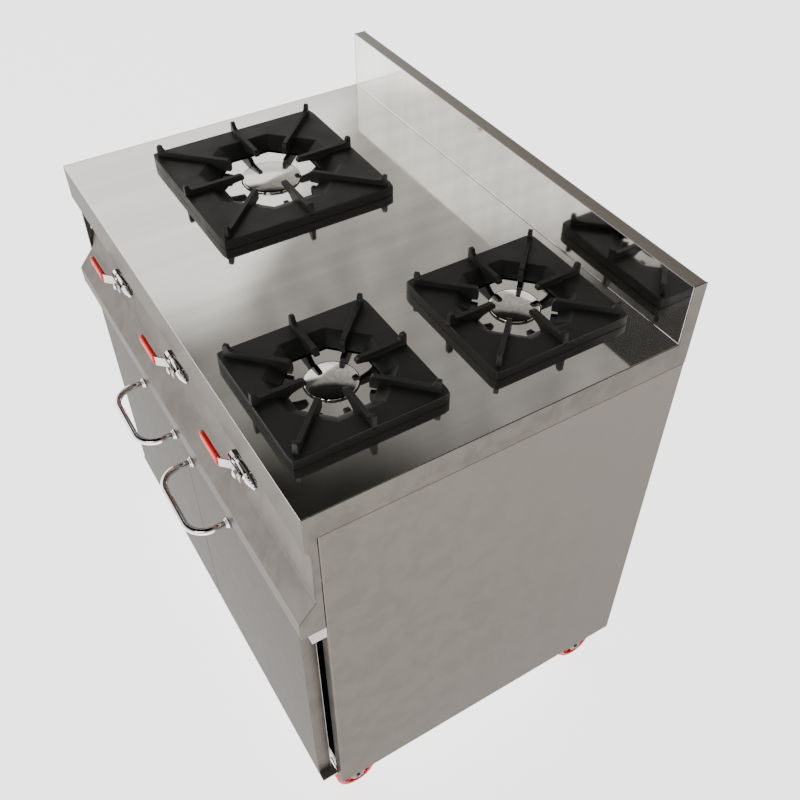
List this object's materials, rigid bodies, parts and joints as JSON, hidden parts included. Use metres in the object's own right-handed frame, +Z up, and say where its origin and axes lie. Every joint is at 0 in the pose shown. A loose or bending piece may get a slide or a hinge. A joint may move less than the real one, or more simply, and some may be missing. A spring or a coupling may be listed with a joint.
{
  "type": "gas_range",
  "caption": "Commercial gas range with three open burners, cast pan supports, lever valves in a front recess, a two-door cabinet and castors; low splashback.",
  "frame": {"origin": "centre of the footprint, on the floor the castors stand on", "axes": "+X to the right seen from the front, +Y to the rear, +Z up"},
  "size_m": [0.9, 0.681, 0.95],
  "materials": {
    "mirror_steel": "polished mirror bright",
    "brushed_steel": "satin",
    "panel_steel": "satin, mottled",
    "hidden_steel": "matt mill finish",
    "gas_pipe_steel": "zinc plated",
    "injector_brass": "machined",
    "valve_chrome": "bright plated",
    "handle_chrome": "bright plated",
    "lever_steel": "satin zinc",
    "red_sleeve": "soft satin",
    "magnet_black": "matt",
    "burner_iron": "sand cast",
    "cap_steel": "polished",
    "support_iron": "matt black enamel",
    "castor_zinc": "zinc plated",
    "castor_black": "satin black",
    "pedal_black": "satin",
    "wheel_red": "satin"
  },
  "bodies": {
    "cabinet": {"worktop_sheet": "mirror_steel", "splashback_shell": "brushed_steel", "end_cheek_left": "brushed_steel", "end_cheek_right": "brushed_steel", "front_flange": "brushed_steel", "control_panel": "brushed_steel", "side_panel_left": "panel_steel", "side_panel_right": "panel_steel", "back_panel": "hidden_steel", "base_panel": "hidden_steel", "header_rail": "hidden_steel", "burner_bearers": "hidden_steel", "hinge_brackets_left": "hidden_steel", "hinge_brackets_right": "hidden_steel", "gas_manifold": "gas_pipe_steel", "burner_pipes": "gas_pipe_steel", "burner_injectors": "injector_brass", "valve_body_1": "valve_chrome", "valve_body_2": "valve_chrome", "valve_body_3": "valve_chrome", "panel_screws": "valve_chrome", "door_magnets": "magnet_black", "burner_body_1": "burner_iron", "burner_body_2": "burner_iron", "burner_body_3": "burner_iron", "castor_plates": "castor_zinc"},
    "lever_1": {"valve_stem_1": "valve_chrome", "lever_plate_1": "lever_steel", "lever_sleeve_1": "red_sleeve"},
    "lever_2": {"valve_stem_2": "valve_chrome", "lever_plate_2": "lever_steel", "lever_sleeve_2": "red_sleeve"},
    "lever_3": {"valve_stem_3": "valve_chrome", "lever_plate_3": "lever_steel", "lever_sleeve_3": "red_sleeve"},
    "door_left": {"door_skin_left": "panel_steel", "door_liner_left": "hidden_steel", "door_handle_left": "handle_chrome"},
    "door_right": {"door_skin_right": "panel_steel", "door_liner_right": "hidden_steel", "door_handle_right": "handle_chrome"},
    "swivel_front_left": {"castor_fork_front_left": "castor_black"},
    "wheel_front_left": {"castor_wheel_front_left": "wheel_red"},
    "pedal_front_left": {"brake_pedal_front_left": "pedal_black"},
    "swivel_front_right": {"castor_fork_front_right": "castor_black"},
    "wheel_front_right": {"castor_wheel_front_right": "wheel_red"},
    "pedal_front_right": {"brake_pedal_front_right": "pedal_black"},
    "swivel_rear_left": {"castor_fork_rear_left": "castor_black"},
    "wheel_rear_left": {"castor_wheel_rear_left": "wheel_red"},
    "pedal_rear_left": {"brake_pedal_rear_left": "pedal_black"},
    "swivel_rear_right": {"castor_fork_rear_right": "castor_black"},
    "wheel_rear_right": {"castor_wheel_rear_right": "wheel_red"},
    "pedal_rear_right": {"brake_pedal_rear_right": "pedal_black"},
    "pan_support_1": {"pan_support_1": "support_iron"},
    "burner_cap_1": {"burner_cap_1": "cap_steel"},
    "pan_support_2": {"pan_support_2": "support_iron"},
    "burner_cap_2": {"burner_cap_2": "cap_steel"},
    "pan_support_3": {"pan_support_3": "support_iron"},
    "burner_cap_3": {"burner_cap_3": "cap_steel"}
  },
  "joints": [
    {"name": "valve_turn_1", "type": "hinge", "parent": "cabinet", "child": "lever_1", "pos_m": [-0.242, -0.2665, 0.728], "axis": [0, 1, 0], "range_deg": [0, 90]},
    {"name": "valve_turn_2", "type": "hinge", "parent": "cabinet", "child": "lever_2", "pos_m": [0, -0.2665, 0.728], "axis": [0, 1, 0], "range_deg": [0, 90]},
    {"name": "valve_turn_3", "type": "hinge", "parent": "cabinet", "child": "lever_3", "pos_m": [0.242, -0.2665, 0.728], "axis": [0, 1, 0], "range_deg": [0, 90]},
    {"name": "door_swing_left", "type": "hinge", "parent": "cabinet", "child": "door_left", "pos_m": [-0.4105, -0.2665, 0.118], "axis": [0, 0, -1], "range_deg": [0, 110]},
    {"name": "door_swing_right", "type": "hinge", "parent": "cabinet", "child": "door_right", "pos_m": [0.4105, -0.2665, 0.118], "axis": [0, 0, 1], "range_deg": [0, 110]},
    {"name": "castor_swivel_front_left", "type": "hinge", "parent": "cabinet", "child": "swivel_front_left", "pos_m": [-0.407, -0.2225, 0.092], "axis": [0, 0, 1], "continuous": true},
    {"name": "wheel_spin_front_left", "type": "hinge", "parent": "swivel_front_left", "child": "wheel_front_left", "pos_m": [-0.407, -0.2025, 0.0375], "axis": [1, 0, 0], "continuous": true},
    {"name": "brake_press_front_left", "type": "hinge", "parent": "swivel_front_left", "child": "pedal_front_left", "pos_m": [-0.407, -0.2105, 0.087], "axis": [-1, 0, 0], "range_deg": [0, 15]},
    {"name": "castor_swivel_front_right", "type": "hinge", "parent": "cabinet", "child": "swivel_front_right", "pos_m": [0.407, -0.2225, 0.092], "axis": [0, 0, 1], "continuous": true},
    {"name": "wheel_spin_front_right", "type": "hinge", "parent": "swivel_front_right", "child": "wheel_front_right", "pos_m": [0.407, -0.2025, 0.0375], "axis": [1, 0, 0], "continuous": true},
    {"name": "brake_press_front_right", "type": "hinge", "parent": "swivel_front_right", "child": "pedal_front_right", "pos_m": [0.407, -0.2105, 0.087], "axis": [-1, 0, 0], "range_deg": [0, 15]},
    {"name": "castor_swivel_rear_left", "type": "hinge", "parent": "cabinet", "child": "swivel_rear_left", "pos_m": [-0.407, 0.2755, 0.092], "axis": [0, 0, 1], "continuous": true},
    {"name": "wheel_spin_rear_left", "type": "hinge", "parent": "swivel_rear_left", "child": "wheel_rear_left", "pos_m": [-0.407, 0.2955, 0.0375], "axis": [1, 0, 0], "continuous": true},
    {"name": "brake_press_rear_left", "type": "hinge", "parent": "swivel_rear_left", "child": "pedal_rear_left", "pos_m": [-0.407, 0.2875, 0.087], "axis": [-1, 0, 0], "range_deg": [0, 15]},
    {"name": "castor_swivel_rear_right", "type": "hinge", "parent": "cabinet", "child": "swivel_rear_right", "pos_m": [0.407, 0.2755, 0.092], "axis": [0, 0, 1], "continuous": true},
    {"name": "wheel_spin_rear_right", "type": "hinge", "parent": "swivel_rear_right", "child": "wheel_rear_right", "pos_m": [0.407, 0.2955, 0.0375], "axis": [1, 0, 0], "continuous": true},
    {"name": "brake_press_rear_right", "type": "hinge", "parent": "swivel_rear_right", "child": "pedal_rear_right", "pos_m": [0.407, 0.2875, 0.087], "axis": [-1, 0, 0], "range_deg": [0, 15]},
    {"name": "support_lift_1", "type": "slide", "parent": "cabinet", "child": "pan_support_1", "axis": [0, 0, 1], "range_m": [0, 0.12]},
    {"name": "cap_lift_1", "type": "slide", "parent": "cabinet", "child": "burner_cap_1", "axis": [0, 0, 1], "range_m": [0, 0.006]},
    {"name": "support_lift_2", "type": "slide", "parent": "cabinet", "child": "pan_support_2", "axis": [0, 0, 1], "range_m": [0, 0.12]},
    {"name": "cap_lift_2", "type": "slide", "parent": "cabinet", "child": "burner_cap_2", "axis": [0, 0, 1], "range_m": [0, 0.006]},
    {"name": "support_lift_3", "type": "slide", "parent": "cabinet", "child": "pan_support_3", "axis": [0, 0, 1], "range_m": [0, 0.12]},
    {"name": "cap_lift_3", "type": "slide", "parent": "cabinet", "child": "burner_cap_3", "axis": [0, 0, 1], "range_m": [0, 0.006]}
  ]
}
